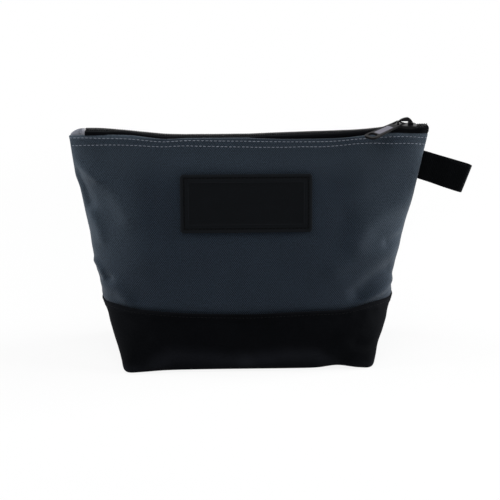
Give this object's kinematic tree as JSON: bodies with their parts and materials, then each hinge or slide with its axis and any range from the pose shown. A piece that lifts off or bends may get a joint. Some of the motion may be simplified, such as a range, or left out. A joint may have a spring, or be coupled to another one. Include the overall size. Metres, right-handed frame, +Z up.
{
  "type": "zippered tool bag",
  "caption": "Wedge-shaped fabric tool bag on a boxed dark base, with a zipped mouth, a moulded front patch and a webbing loop at one side seam.",
  "frame": {"origin": "on the floor, under the middle of the bag", "axes": "+Z up, +X along the zipper towards the parked slider and side loop, -Y out of the front with the patch"},
  "size_m": [0.354, 0.0956, 0.218],
  "materials": {
    "panel_cloth": "coated blue-grey woven polyester, matt",
    "base_cloth": "black woven polyester, matt",
    "binding_tape": "light grey woven binding",
    "zip_tape": "black knitted tape",
    "zip_coil": "black moulded coil, satin",
    "slider_metal": "black enamel, semi-gloss",
    "pull_metal": "black enamel, semi-gloss",
    "patch_rubber": "black moulded soft rubber",
    "dark_thread": "black polyester thread",
    "hem_thread": "light grey polyester thread",
    "loop_webbing": "black ribbed webbing"
  },
  "bodies": {
    "bag": {"base_panel": "base_cloth", "front_panel": "panel_cloth", "back_margin": "panel_cloth", "left_seam_binding": "binding_tape", "right_seam_binding": "binding_tape", "left_corner_binding": "binding_tape", "right_corner_binding": "binding_tape", "front_tape": "zip_tape", "front_coil": "zip_coil", "front_patch": "patch_rubber", "patch_stitching": "dark_thread", "front_hem_stitching": "hem_thread"},
    "back_wall": {"back_panel": "panel_cloth", "back_tape": "zip_tape", "back_coil": "zip_coil", "back_hem_stitching": "hem_thread"},
    "slider": {"slider_body": "slider_metal"},
    "pull": {"pull_tab": "pull_metal"},
    "loop": {"side_loop": "loop_webbing"}
  },
  "joints": [
    {"name": "zip_slide", "type": "slide", "parent": "bag", "child": "slider", "axis": [-1, 0, 0], "range_m": [0, 0.266], "deforming": ["front_tape", "back_tape", "front_coil", "back_coil"]},
    {"name": "mouth_open", "type": "hinge", "parent": "bag", "child": "back_wall", "pos_m": [0, 0.03996, 0.0522], "axis": [-1, 0, 0], "range_deg": [0, 18], "deforming": ["front_tape", "back_tape", "front_coil", "back_coil"]},
    {"name": "pull_lift", "type": "hinge", "parent": "slider", "child": "pull", "pos_m": [0.13351, 0, 0.2134], "axis": [-0.6743, 0.7352, 0.0692], "range_deg": [0, 105]},
    {"name": "loop_swing", "type": "hinge", "parent": "bag", "child": "loop", "pos_m": [0.15285, 0, 0.1751], "axis": [0.1623, 0, 0.9867], "range_deg": [-80, 80]}
  ],
  "couplings": [
    {"joint": "mouth_open", "follows": "zip_slide", "rad_per_m": 1.181}
  ]
}
